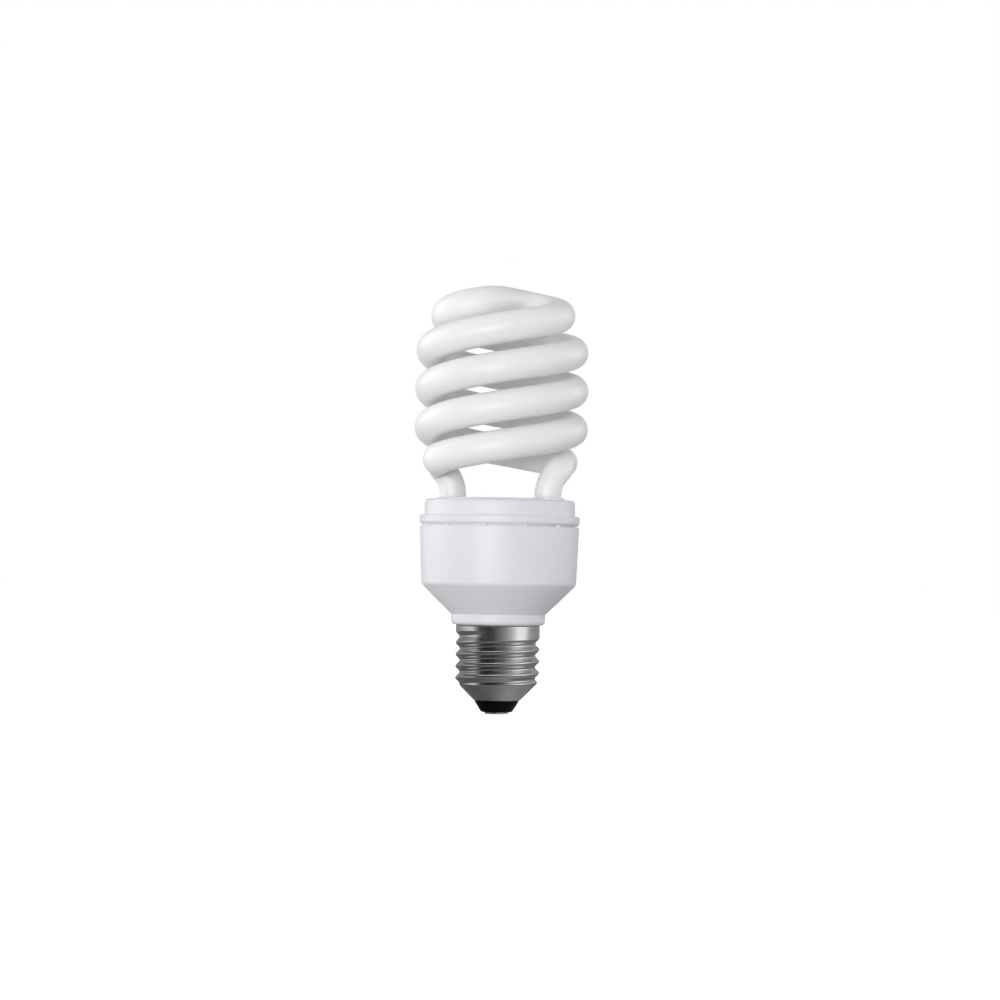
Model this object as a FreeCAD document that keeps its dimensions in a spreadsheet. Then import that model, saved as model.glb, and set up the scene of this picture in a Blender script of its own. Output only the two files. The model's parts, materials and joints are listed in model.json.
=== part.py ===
# Spiral energy saving bulb with an E27 screw cap.
# Millimetres, +Z up, origin at the middle of the foot contact. Each piece becomes parts/LABEL.step.
import FreeCAD
import Part
import Sketcher

import math
import os
import re

from FreeCAD import Placement, Rotation, Vector

UP = Vector(0, 0, 1)

# How finely the spiral tube's surface is controlled: rows per tube radius along it, poles round it,
# and rows to a face
ROW_SPACING = 0.75
ROUND_POLES = 12
FACE_ROWS = 8

sizes = {
    # Cap
    "contact_radius": 3.5,
    "contact_height": 0.8,
    "contact_round": 0.5,
    "rivet_radius": 1.6,
    "rivet_height": 5.4,
    "insulator_foot": 4.8,
    "insulator_height": 3.7,
    "insulator_round": 1.0,
    "insulator_plug": 1.8,
    "lip_radius": 7.2,
    "sheet_thickness": 0.35,
    "root_radius": 12.05,
    "thread_depth": 1.05,
    "thread_pitch": 3.629,
    "ridge_width": 2.9,
    "crest_drop": 0.05,
    "ridge_start": 1.4,
    "thread_height": 14.75,
    "band_height": 3.8,
    # Ballast housing
    "spigot_depth": 9.9,
    "spigot_wall": 1.4,
    "ring_overhang": 1.6,
    "ring_height": 3.4,
    "ring_round": 1.3,
    "cone_inset": 0.2,
    "shoulder_round": 1.9,
    "housing_wall": 1.4,
    "body_draft": 0.7,
    "rib_count": 4,
    "rib_angle": 20,
    "rib_width": 1.5,
    "rib_height": 8.0,
    "rib_reach": 1.0,
    # Tube holder
    "skirt_depth": 3.2,
    "groove_depth": 0.9,
    "groove_height": 1.3,
    "lug_count": 12,
    "lug_angle": -11,
    "lug_width": 1.1,
    "lug_inset": 0.15,
    "flange_overhang": 0.1,
    "flange_height": 2.2,
    "flange_chamfer": 0.5,
    "step_inset": 1.4,
    "step_height": 4.9,
    "step_round": 1.2,
    "holder_wall": 1.5,
    "disc_inset": 4.1,
    "disc_height": 0.45,
    "rim_width": 0.9,
    "rim_height": 0.75,
    "boss_wall": 0.7,
    "boss_depth": 6.0,
    "cement_width": 0.5,
    "cement_height": 1.2,
    # Spiral tube
    "tube_radius": 4.86,
    "leg_radius": 4.1,
    "leg_depth": 0.9,
    "strand_gap": 2.28,
    "coil_radius": 22.15,
    "coil_turns": 2.05,
    "crown_angle": 52.7,
    "crown_spread": 60.0,
    "elbow_start": 12.15,
    "elbow_turn": 65.0,
    "elbow_reach": 10.6,
    "elbow_drop": 5.0,
    "elbow_foot": 2.65,
    # Fits
    "fit_gap": 0.05,
    "leg_gap": 0.1,
    "seat_gap": 0.2,
    "board_gap": 1.05,
    # Circuit board
    "board_thickness": 1.6,
    "board_depth": 6.0,
    "board_margin": 1.0,
    "lead_radius": 0.3,
    "lead_tail": 0.8,
    "lead_bend": 0.7,
    "lead_root": 0.4,
    # Gaps between the components
    "wide_gap": 2.5,
    "middle_gap": 1.15,
    "close_gap": 0.6,
    # Smoothing capacitor
    "can_radius": 5.0,
    "can_length": 20.0,
    "can_round": 0.6,
    "can_groove": 0.5,
    "can_groove_place": 2.4,
    "can_lead_spacing": 5.0,
    # Lamp choke
    "choke_width": 16.0,
    "choke_height": 15.0,
    "choke_thickness": 5.0,
    "choke_depth": 10.0,
    "choke_dip": 3.3,
    "choke_back": 2.0,
    "choke_side": 2.0,
    "choke_middle": 4.0,
    "choke_air": 0.4,
    "bobbin_wall": 0.6,
    "bobbin_lead_spacing": 4.0,
    # Ring transformer
    "ring_across": 10.5,
    "ring_along": 11.0,
    "ring_outer": 4.5,
    "ring_inner": 2.5,
    "ring_thickness": 3.2,
    "loop_wire": 0.25,
    "loop_slack": 0.1,
    "loop_angle": 30,
    "loops_in_winding": 3,
    "winding_angle": 120,
    # Transistors
    "case_width": 7.8,
    "case_thickness": 2.7,
    "case_height": 11.0,
    "case_stand": 3.0,
    "case_hole": 1.5,
    "case_hole_drop": 3.7,
    "case_lead_spacing": 2.29,
    "case_offset": 0.6,
    "case_stagger": 1.3,
    "case_row": 2.95,
    # Film capacitors
    "film_round": 0.6,
    "film_stand": 0.6,
    "resonant_length": 10.0,
    "resonant_thickness": 4.5,
    "resonant_height": 9.0,
    "resonant_spacing": 7.5,
    "blocking_length": 9.0,
    "blocking_thickness": 4.5,
    "blocking_height": 8.0,
    "blocking_spacing": 7.0,
    "timing_length": 5.0,
    "timing_thickness": 3.0,
    "timing_height": 5.0,
    "timing_spacing": 3.5,
    "timing_across": 1.5,
    # Mains filter choke
    "drum_radius": 4.0,
    "drum_height": 9.0,
    "drum_flange": 1.0,
    "drum_waist": 2.0,
    "drum_winding": 1.6,
    "drum_distance": 5.5,
    "drum_lead_spacing": 4.0,
    # Diodes and resistors
    "diode_radius": 1.35,
    "diode_length": 5.2,
    "diode_span": 7.0,
    "diode_offset": 1.8,
    "trigger_radius": 0.95,
    "trigger_length": 4.0,
    "trigger_span": 6.5,
    "resistor_radius": 1.15,
    "resistor_length": 4.4,
    "resistor_span": 6.8,
    "fuse_radius": 1.7,
    "fuse_length": 8.0,
    "fuse_stand": 5.8,
    "fuse_rise": 6.0,
    "riser_across": 4.6,
    "riser_along": 6.6,
    "riser_height": 5.0,
    "shell_lead_drop": 1.2,
    # Filament connections
    "post_radius": 0.5,
    "post_height": 3.0,
    "post_inset": 1.9,
    "post_spread": 25.0,
    "filament_wire": 0.25,
    "filament_offset": 1.6,
    "filament_height": 1.8,
}

# Levels, radii and places that follow from the sizes
derived = {
    "crest_radius": "root_radius + thread_depth",
    "lip_base": "contact_height + insulator_height",
    "thread_base": "lip_base + root_radius - lip_radius",
    "band_base": "thread_base + thread_height",
    "cap_top": "band_base + band_height",
    "bend_shift": "sheet_thickness * tan(22.5)",
    "lip_bore": "lip_radius - sheet_thickness",
    "root_bore": "root_radius - sheet_thickness",
    "band_bore": "crest_radius - sheet_thickness",
    "spigot_base": "cap_top - spigot_depth",
    "spigot_radius": "root_bore - fit_gap",
    "neck_bore": "spigot_radius - spigot_wall",
    "ring_radius": "crest_radius + ring_overhang",
    "cone_radius": "ring_radius + cone_inset",
    "cone_base": "cap_top + ring_height",
    "body_bore": "board_radius + board_gap",
    "body_radius": "body_bore + housing_wall",
    "rim_radius": "body_radius + body_draft",
    "rim_bore": "rim_radius - housing_wall",
    "body_base": "cone_base + body_radius - cone_radius",
    "cone_bend": "housing_wall * tan(22.5)",
    "body_height": "board_depth + seat_gap + choke_height - choke_dip",
    "rim_level": "body_base + body_height",
    "board_base": "rim_level - board_depth",
    "board_top": "board_base + board_thickness",
    "hang_level": "board_base - seat_gap",
    "skirt_draft": "body_draft * skirt_depth / (body_height - cone_bend)",
    "skirt_radius": "rim_bore - skirt_draft - fit_gap",
    "groove_radius": "rim_radius - groove_depth",
    "flange_base": "rim_level + groove_height",
    "flange_radius": "rim_radius + flange_overhang",
    "flange_top": "flange_base + flange_height",
    "step_radius": "rim_radius - step_inset",
    "step_top": "flange_top + step_height",
    "step_bore": "step_radius - holder_wall",
    "disc_radius": "step_radius - disc_inset",
    "disc_top": "step_top + disc_height",
    "plate_base": "step_top - holder_wall",
    "boss_base": "plate_base - boss_depth",
    "leg_hole": "leg_radius + leg_gap",
    "leg_place": "step_radius - step_round - rim_width - leg_hole",
    "leg_foot": "rim_level - leg_depth",
    "leg_angle": "crown_angle - coil_turns * 360 - elbow_turn",
    "coil_lead": "2 * (2 * tube_radius + strand_gap)",
    "coil_end": "disc_top + elbow_start",
    "crown_level": "coil_end + coil_turns * coil_lead",
    "choke_x": "-(can_radius + wide_gap + choke_depth / 2)",
    "choke_base": "hang_level - choke_height",
    "choke_split": "hang_level - choke_height / 2",
    "window_low": "choke_base + choke_back",
    "window_high": "hang_level - choke_back",
    "window_edge": "choke_width / 2 - choke_side",
    "ring_x": "ring_across",
    "ring_y": "ring_along",
    "ring_middle": "(ring_outer + ring_inner) / 2",
    "loop_radius": "hypot(ring_outer - ring_inner; ring_thickness) / 2 + loop_slack + loop_wire",
    "ring_level": "hang_level - loop_radius - loop_wire",
    "case_x": "case_width / 2 + case_offset",
    "case_y": "-(can_radius + wide_gap + case_thickness / 2)",
    "rear_case_x": "case_x - case_stagger",
    "rear_case_y": "case_y - case_thickness - case_row",
    "case_top": "hang_level - case_stand",
    "resonant_x": "rear_case_x - case_width / 2 - close_gap - resonant_length / 2",
    "resonant_y": "-(choke_width / 2 + middle_gap + 2 * diode_radius - close_gap + resonant_thickness / 2)",
    "blocking_x": "-(blocking_length / 2 + close_gap)",
    "blocking_y": "choke_width / 2 + wide_gap + blocking_thickness / 2",
    "timing_x": "timing_across",
    "timing_y": "blocking_y + blocking_thickness / 2 + close_gap + timing_thickness / 2",
    "drum_x": "can_radius + drum_distance + drum_radius",
    "drum_y": "-drum_radius",
    "bridge_x": "drum_x - middle_gap",
    "bridge_y": "drum_y - drum_radius - middle_gap - diode_radius",
    "rear_bridge_x": "bridge_x - close_gap",
    "rear_bridge_y": "bridge_y - 2 * diode_radius - close_gap",
    "flank_x": "choke_x - diode_offset",
    "flank_y": "choke_width / 2 + middle_gap + diode_radius",
    "board_radius": "hypot(flank_x - diode_span / 2; flank_y) + board_margin",
    "trigger_x": "drum_x + drum_radius - trigger_radius",
    "trigger_y": "trigger_span / 2 + close_gap",
    "base_one_x": "can_radius + middle_gap + resistor_radius",
    "base_one_y": "-2 * middle_gap",
    "base_two_x": "drum_x - 2 * middle_gap",
    "base_two_y": "middle_gap + resistor_radius",
    "start_x": "middle_gap",
    "start_y": "can_radius + middle_gap + resistor_radius",
    "riser_x": "-riser_across",
    "riser_y": "riser_along",
    "fuse_base": "contact_height + rivet_height + fuse_stand",
    "fuse_top": "fuse_base + fuse_length",
    "shell_lead_level": "spigot_base - shell_lead_drop",
    "post_place": "board_radius - post_inset",
    "wire_level": "board_top + filament_height",
}

doc = FreeCAD.newDocument("SpiralBulb")
sheet = doc.addObject("Spreadsheet::Sheet", "Sizes")
for row, (name, value) in enumerate(sizes.items(), 1):
    sheet.set("A%d" % row, name)
    sheet.set("B%d" % row, str(value))
    sheet.setAlias("B%d" % row, name)
doc.recompute()

pieces = []
board_holes = []


# Expressions and numbers from the sheet

def formula(text):
    def spell_out(match):
        word = match.group()
        if word in derived:
            return "(" + formula(derived[word]) + ")"
        if word in sizes:
            return "Sizes." + word
        return word

    return re.sub(r"[a-z][a-z_]*", spell_out, text)


def number(text):
    return float(sheet.evalExpression(formula(text)))


def point(x, y, z):
    return Vector(number(x), number(y), number(z))


def bind(item, **fields):
    for name, text in fields.items():
        item.setExpression(name, formula(text))
    return item


def put(item, x="0", y="0", z="0"):
    for axis, text in (("x", x), ("y", y), ("z", z)):
        item.setExpression("Placement.Base." + axis, formula(text))
    return item


def piece(item):
    pieces.append(item)
    return item


# Part primitives and booleans

def cylinder(name, radius, height, x="0", y="0", z="0"):
    item = doc.addObject("Part::Cylinder", name)
    return put(bind(item, Radius=radius, Height=height), x, y, z)


def block(name, length, width, height, x="0", y="0", z="0"):
    item = doc.addObject("Part::Box", name)
    bind(item, Length=length, Width=width, Height=height)
    return put(item, f"{x} - ({length}) / 2", f"{y} - ({width}) / 2", z)


def spoke(name, inner, outer, width, height, z, angle):
    item = doc.addObject("Part::Box", name)
    bind(item, Length=f"{outer} - ({inner})", Width=width, Height=height)
    item.Placement.Rotation = Rotation(UP, number(angle))
    across = f"({inner}) * cos({angle}) + ({width}) / 2 * sin({angle})"
    along = f"({inner}) * sin({angle}) - ({width}) / 2 * cos({angle})"
    return put(item, across, along, z)


def fused(name, *items):
    item = doc.addObject("Part::MultiFuse", name)
    item.Shapes = list(items)
    return item


def cut(name, base, *tools):
    item = doc.addObject("Part::Cut", name)
    item.Base = base
    item.Tool = tools[0] if len(tools) == 1 else fused(name + "_tools", *tools)
    return item


def upright_edges_rounded(name, base, radius):
    doc.recompute()
    rows = []
    for index, edge in enumerate(base.Shape.Edges, 1):
        ends = [vertex.Point for vertex in edge.Vertexes]
        if len(ends) == 2 and (ends[1] - ends[0]).cross(UP).Length < Part.Precision.confusion():
            rows.append((index, number(radius), number(radius)))
    item = doc.addObject("Part::Fillet", name)
    item.Base = base
    item.Edges = rows
    return item


# Turned pieces

def origin_plane(body, role):
    return [plane for plane in body.Origin.OriginFeatures if plane.Role == role][0]


def new_sketch(body, name):
    sketch = body.newObject("Sketcher::SketchObject", name)
    sketch.AttachmentSupport = (origin_plane(body, "XZ_Plane"), "")
    sketch.MapMode = "FlatFace"
    return sketch


def hold(sketch, geometry, end, radius, height):
    for kind, axis, text in (("DistanceX", -2, radius), ("DistanceY", -1, height)):
        if text == "0":
            sketch.addConstraint(Sketcher.Constraint("PointOnObject", geometry, end, axis))
        else:
            row = sketch.addConstraint(Sketcher.Constraint(kind, -1, 1, geometry, end, number(text)))
            sketch.setExpression("Constraints[%d]" % row, formula(text))


def outline_sketch(body, name, outline):
    sketch = new_sketch(body, name)
    spots = [Vector(number(radius), number(height), 0) for radius, height in outline]
    count = len(spots)
    for index in range(count):
        sketch.addGeometry(Part.LineSegment(spots[index], spots[(index + 1) % count]))
    for index in range(count):
        sketch.addConstraint(Sketcher.Constraint("Coincident", index, 2, (index + 1) % count, 1))
    for index, (radius, height) in enumerate(outline):
        hold(sketch, index, 1, radius, height)
    return sketch


def about_axis(body, kind, name, sketch):
    feature = body.newObject("PartDesign::" + kind, name)
    feature.Profile = sketch
    feature.ReferenceAxis = (sketch, ["V_Axis"])
    return feature


def turned(name, outline):
    body = doc.addObject("PartDesign::Body", name)
    sketch = outline_sketch(body, name + "_outline", outline)
    about_axis(body, "Revolution", name + "_turn", sketch).Angle = 360
    return body


def soften(body, radius, rim_radius, rim_height):
    doc.recompute()
    base = body.Tip
    rims = []
    for index, edge in enumerate(base.Shape.Edges, 1):
        curve = edge.Curve
        if not isinstance(curve, Part.Circle):
            continue
        off = abs(curve.Radius - number(rim_radius)) + abs(curve.Center.z - number(rim_height))
        if off < Part.Precision.approximation():
            rims.append("Edge%d" % index)
    fillet = body.newObject("PartDesign::Fillet", body.Name + "_soft")
    fillet.Base = (base, rims)
    bind(fillet, Radius=radius)


# Wires: straight runs joined by tangent arcs

def bent_wire(name, points, radius):
    bend = number("lead_bend")
    edges = []
    start = points[0]
    for before, corner, after in zip(points, points[1:], points[2:]):
        back = (before - corner).normalize()
        ahead = (after - corner).normalize()
        half = back.getAngle(ahead) / 2
        first = corner + back * (bend / math.tan(half))
        last = corner + ahead * (bend / math.tan(half))
        middle = corner + (back + ahead).normalize() * (bend / math.sin(half) - bend)
        edges.append(Part.LineSegment(start, first).toShape())
        edges.append(Part.Arc(first, middle, last).toShape())
        start = last
    edges.append(Part.LineSegment(start, points[-1]).toShape())
    path = doc.addObject("Part::Feature", name + "_path")
    path.Shape = Part.Wire(edges)
    section = doc.addObject("Part::Circle", name + "_section")
    bind(section, Radius=radius)
    section.Placement = Placement(points[0], Rotation(UP, points[1] - points[0]))
    sweep = doc.addObject("Part::Sweep", name)
    sweep.Sections = [section]
    sweep.Spine = (path, ["Edge%d" % index for index in range(1, len(edges) + 1)])
    sweep.Solid = True
    return sweep


# Component leads go up through the board, each through a hole of its own

def board_hole(x, y, radius="lead_radius"):
    name = "board_hole_%d" % (len(board_holes) + 1)
    board_holes.append(cylinder(name, f"{radius} + fit_gap", "board_thickness", x, y, "board_base"))


def straight_lead(name, x, y, top):
    board_hole(x, y)
    root = f"{top} - lead_root"
    return cylinder(name, "lead_radius", f"board_top + lead_tail - ({root})", x, y, root)


def with_leads(name, body, top, *places):
    leads = [straight_lead(f"{name}_lead_{row}", x, y, top) for row, (x, y) in enumerate(places, 1)]
    return piece(fused(name, body, *leads))


def axial_component(name, radius, length, span, x, y, lengthwise):
    level = f"hang_level - {radius}"
    case = cylinder(name + "_case", radius, length)
    if lengthwise == "x":
        case.Placement.Rotation = Rotation(Vector(0, 1, 0), 90)
        put(case, f"{x} - {length} / 2", y, level)
        ends = [(f"{x} - {span} / 2", y), (f"{x} + {span} / 2", y)]
    else:
        case.Placement.Rotation = Rotation(Vector(1, 0, 0), -90)
        put(case, x, f"{y} - {length} / 2", level)
        ends = [(x, f"{y} - {span} / 2"), (x, f"{y} + {span} / 2")]
    for end in ends:
        board_hole(*end)
    tail = "board_top + lead_tail"
    route = [point(*ends[0], tail), point(*ends[0], level), point(*ends[1], level), point(*ends[1], tail)]
    return piece(fused(name, case, bent_wire(name + "_wire", route, "lead_radius")))


# Spiral tube: two strands wound side by side, joined over the top, with a bent leg at each end

def coil_point(run):
    radius = number("coil_radius")
    spread = math.radians(number("crown_spread"))
    knee = radius / (2 * spread)
    turned_by = (math.hypot(knee, run) - knee) / radius
    reach = radius * math.sqrt(1 - math.exp(-turned_by / spread))
    angle = math.radians(number("crown_angle")) - turned_by
    drop = number("coil_lead") * turned_by / (2 * math.pi)
    return Vector(reach * math.cos(angle), reach * math.sin(angle), number("crown_level") - drop)


# Points along one strand, from the crown to the foot of its leg, each with the tube's radius there

def strand_stations():
    spacing = number("tube_radius") * ROW_SPACING
    radius = number("coil_radius")
    knee = radius / (2 * math.radians(number("crown_spread")))
    full_run = math.sqrt((math.radians(360 * number("coil_turns")) * radius + knee) ** 2 - knee ** 2)
    wide, narrow = number("tube_radius"), number("leg_radius")
    steps = round(full_run / spacing)
    stations = [(coil_point(full_run * step / steps), wide) for step in range(steps + 1)]

    start = stations[-1][0]
    heading = (coil_point(full_run + spacing) - coil_point(full_run - spacing)).normalize()
    angle = math.radians(number("leg_angle"))
    foot = Vector(number("leg_place") * math.cos(angle), number("leg_place") * math.sin(angle),
                  number("disc_top + elbow_foot"))
    elbow = Part.BezierCurve()
    elbow.setPoles([start, start + heading * number("elbow_reach"), foot + UP * number("elbow_drop"), foot])
    steps = round(elbow.length() / spacing)
    for step in range(1, steps + 1):
        share = step / steps
        narrowing = share * share * (3 - 2 * share)
        stations.append((elbow.value(share), wide + (narrow - wide) * narrowing))

    leg_length = number("disc_top + elbow_foot - leg_foot")
    steps = round(leg_length / spacing)
    for step in range(1, steps + 1):
        stations.append((foot - UP * (leg_length * step / steps), narrow))
    return stations


def spiral_tube():
    half = strand_stations()
    other = [(Vector(-spot.x, -spot.y, spot.z), radius) for spot, radius in half]
    stations = list(reversed(other)) + half[1:]
    spots = [spot for spot, radius in stations]
    last = len(spots) - 1

    # Control rows stand a little outside the bends, so that the tube's middle passes through the stations
    swell = 3 / (2 + math.cos(2 * math.pi / ROUND_POLES))
    across = Vector(1, 0, 0)
    rows = []
    for index, (spot, radius) in enumerate(stations):
        before, after = spots[max(index - 1, 0)], spots[min(index + 1, last)]
        ahead = (after - before).normalize()
        across = (across - ahead * across.dot(ahead)).normalize()
        beside = ahead.cross(across)
        centre = spot
        if 0 < index < last:
            centre = spot - (before + after - spot * 2) / 6
        row = []
        for turn in range(ROUND_POLES):
            angle = 2 * math.pi * turn / ROUND_POLES
            row.append(centre + (across * math.cos(angle) + beside * math.sin(angle)) * radius * swell)
        rows.append(row)

    along_counts = [4] + [1] * (len(rows) - 4) + [4]
    round_counts = [1] * (ROUND_POLES + 1)
    wall = Part.BSplineSurface()
    wall.buildFromPolesMultsKnots(rows, along_counts, round_counts, list(range(len(along_counts))),
                                  list(range(len(round_counts))), False, True, 3, 3)
    first, final, seam, seam_again = wall.bounds()
    faces = [Part.Face(Part.Wire([wall.uIso(end).toShape()])) for end in (first, final)]
    spans = round((final - first) / FACE_ROWS)
    joints = [first + round((final - first) * span / spans) for span in range(spans + 1)]
    for low, high in zip(joints, joints[1:]):
        stretch = wall.copy()
        stretch.segment(low, high, seam, seam_again)
        faces.append(stretch.toShape())
    shell = Part.makeShell(faces)
    shell.sewShape()
    solid = Part.makeSolid(shell)
    if solid.Volume < 0:
        solid.reverse()
    item = doc.addObject("Part::Feature", "spiral_tube")
    item.Shape = solid
    return piece(item)


# Cap

def centre_contact():
    bore, rivet_top = "lead_radius + fit_gap", "contact_height + rivet_height"
    body = turned("centre_contact", [
        ("0", "0"), ("contact_radius", "0"), ("contact_radius", "contact_height"),
        ("rivet_radius", "contact_height"), ("rivet_radius", rivet_top), (bore, rivet_top),
        (bore, "contact_height"), ("0", "contact_height")])
    soften(body, "contact_round", "contact_radius", "0")
    return piece(body)


def insulator():
    bore, plug = "rivet_radius + fit_gap", "lip_bore - fit_gap"
    body = turned("insulator", [
        (bore, "contact_height"), ("insulator_foot", "contact_height"), ("lip_radius", "lip_base"),
        (plug, "lip_base"), (plug, "lip_base + insulator_plug"), (bore, "lip_base + insulator_plug")])
    soften(body, "insulator_round", "insulator_foot", "contact_height")
    return piece(body)


def thread_profile(body, name, foot, crest, width, level):
    sketch = new_sketch(body, name)
    low, high = f"{level} - ({width}) / 2", f"{level} + ({width}) / 2"
    bottom, top = Vector(number(foot), number(low), 0), Vector(number(foot), number(high), 0)
    sketch.addGeometry(Part.LineSegment(top, bottom))
    sketch.addGeometry(Part.Arc(bottom, Vector(number(crest), number(level), 0), top))
    sketch.addConstraint(Sketcher.Constraint("Coincident", 0, 2, 1, 1))
    sketch.addConstraint(Sketcher.Constraint("Coincident", 0, 1, 1, 2))
    hold(sketch, 0, 2, foot, low)
    hold(sketch, 0, 1, foot, high)
    rise = f"({crest} - ({foot}))"
    bulge = f"({rise} ^ 2 + (({width}) / 2) ^ 2) / (2 * {rise})"
    row = sketch.addConstraint(Sketcher.Constraint("Radius", 1, number(bulge)))
    sketch.setExpression("Constraints[%d]" % row, formula(bulge))
    return sketch


def screw_shell():
    slope = "band_base - thread_depth"
    body = turned("screw_shell", [
        ("0", "lip_base"), ("lip_radius", "lip_base"), ("root_radius", "thread_base"), ("root_radius", slope),
        ("crest_radius", "band_base"), ("crest_radius", "cap_top"), ("0", "cap_top")])

    # The rolled ridge stands out of the wall and runs up into the band, a little under the band's face,
    # and the cone trims its lower end
    start = "lip_base + ridge_start"
    foot = "root_radius - sheet_thickness / 3"
    ridge = thread_profile(body, "ridge_outline", foot, "crest_radius - crest_drop", "ridge_width", start)
    thread = about_axis(body, "AdditiveHelix", "thread_ridge", ridge)
    bind(thread, Pitch="thread_pitch", Height=f"band_base + thread_depth - ({start})")
    far = "2 * thread_height"
    trim = outline_sketch(body, "cone_trim_outline", [
        ("lip_radius", "lip_base"), (f"lip_radius + {far}", f"lip_base + {far}"),
        (f"lip_radius + {far}", "contact_height"), ("lip_radius", "contact_height")])
    about_axis(body, "Groove", "cone_trim", trim).Angle = 360

    # The bore leaves the sheet, and the same wave on its inside keeps the sheet about even
    bore = outline_sketch(body, "bore_outline", [
        ("0", "contact_height"), ("lip_bore", "contact_height"), ("lip_bore", "lip_base + bend_shift"),
        ("root_bore", "thread_base + bend_shift"), ("root_bore", f"{slope} + bend_shift"),
        ("band_bore", "band_base + bend_shift"), ("band_bore", f"cap_top + {far}"), ("0", f"cap_top + {far}")])
    about_axis(body, "Groove", "bore", bore).Angle = 360
    start = f"{start} + 2 * thread_pitch"
    foot = "root_bore - sheet_thickness / 3"
    hollow_width = "ridge_width - 2 * sheet_thickness"
    hollow = thread_profile(body, "hollow_outline", foot, "band_bore - crest_drop", hollow_width, start)
    wave = about_axis(body, "SubtractiveHelix", "thread_hollow", hollow)
    bind(wave, Pitch="thread_pitch", Height=f"band_base + thread_depth - ({start})")
    return piece(body)


# Plastic housing

def ballast_housing():
    collar, collar_base = "band_bore - fit_gap", "band_base + 2 * sheet_thickness"
    neck_rise = "body_bore - neck_bore"
    shell = turned("housing_shell", [
        ("neck_bore", "spigot_base"), ("spigot_radius", "spigot_base"), ("spigot_radius", collar_base),
        (collar, collar_base), (collar, "cap_top"), ("ring_radius", "cap_top"),
        ("ring_radius", "cone_base"), ("cone_radius", "cone_base"), ("body_radius", "body_base"),
        ("rim_radius", "rim_level"), ("rim_bore", "rim_level"), ("body_bore", "body_base + cone_bend"),
        ("neck_bore", f"body_base + cone_bend - ({neck_rise})")])
    soften(shell, "ring_round", "ring_radius", "cap_top")
    soften(shell, "shoulder_round", "body_radius", "body_base")
    ribs = []
    for index in range(int(number("rib_count"))):
        angle = f"(rib_angle + {index} * 360 / rib_count)"
        ribs.append(spoke(f"board_rib_{index + 1}", "board_radius - rib_reach", "body_bore + housing_wall / 2",
                          "rib_width", "rib_height", "board_base - rib_height", angle))
    return piece(fused("ballast_housing", shell, *ribs))


def leg_places():
    for turn in (0, 180):
        angle = f"(leg_angle + {turn})"
        yield f"leg_place * cos({angle})", f"leg_place * sin({angle})", angle


def tube_holder():
    shell = turned("holder_shell", [
        ("step_bore", "rim_level - skirt_depth"), ("skirt_radius", "rim_level - skirt_depth"),
        ("skirt_radius", "rim_level"), ("groove_radius", "rim_level"), ("groove_radius", "flange_base"),
        ("flange_radius", "flange_base"), ("flange_radius", "flange_top - flange_chamfer"),
        ("flange_radius - flange_chamfer", "flange_top"), ("step_radius", "flange_top"),
        ("step_radius", "step_top"), ("disc_radius", "step_top"), ("disc_radius", "disc_top"),
        ("0", "disc_top"), ("0", "plate_base"), ("step_bore", "plate_base")])
    soften(shell, "step_round", "step_radius", "step_top")
    added = []
    for index in range(int(number("lug_count"))):
        angle = f"(lug_angle + {index} * 360 / lug_count)"
        added.append(spoke(f"snap_lug_{index + 1}", "groove_radius - holder_wall", "rim_radius - lug_inset",
                           "lug_width", "groove_height", "rim_level", angle))
    holes = []
    for index, (x, y, _) in enumerate(leg_places(), 1):
        added.append(cylinder(f"leg_rim_{index}", "leg_hole + rim_width", "holder_wall + rim_height",
                              x, y, "plate_base"))
        added.append(cylinder(f"leg_boss_{index}", "leg_hole + boss_wall", "boss_depth + holder_wall / 2",
                              x, y, "boss_base"))
        holes.append(cylinder(f"leg_hole_{index}", "leg_hole", "disc_top + rim_height - leg_foot",
                              x, y, "leg_foot"))
    return piece(cut("tube_holder", fused("holder_moulding", shell, *added), *holes))


def leg_cement():
    for index, (x, y, _) in enumerate(leg_places(), 1):
        base = "boss_base - cement_height"
        outer = cylinder(f"cement_outer_{index}", "leg_radius + cement_width", "cement_height", x, y, base)
        inner = cylinder(f"cement_inner_{index}", "leg_radius + fit_gap", "cement_height", x, y, base)
        piece(cut(f"leg_cement_{index}", outer, inner))


# Components under the board

def smoothing_capacitor():
    base, waist = "hang_level - can_length", "hang_level - can_groove_place"
    can = turned("smoothing_can", [
        ("0", base), ("can_radius - can_round", base), ("can_radius", f"{base} + can_round"),
        ("can_radius", f"{waist} - can_groove"), ("can_radius - can_groove", waist),
        ("can_radius", f"{waist} + can_groove"), ("can_radius", "hang_level - can_round"),
        ("can_radius - can_round", "hang_level"), ("0", "hang_level")])
    with_leads("smoothing_capacitor", can, "hang_level",
               ("0", "can_lead_spacing / 2"), ("0", "-can_lead_spacing / 2"))


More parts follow.
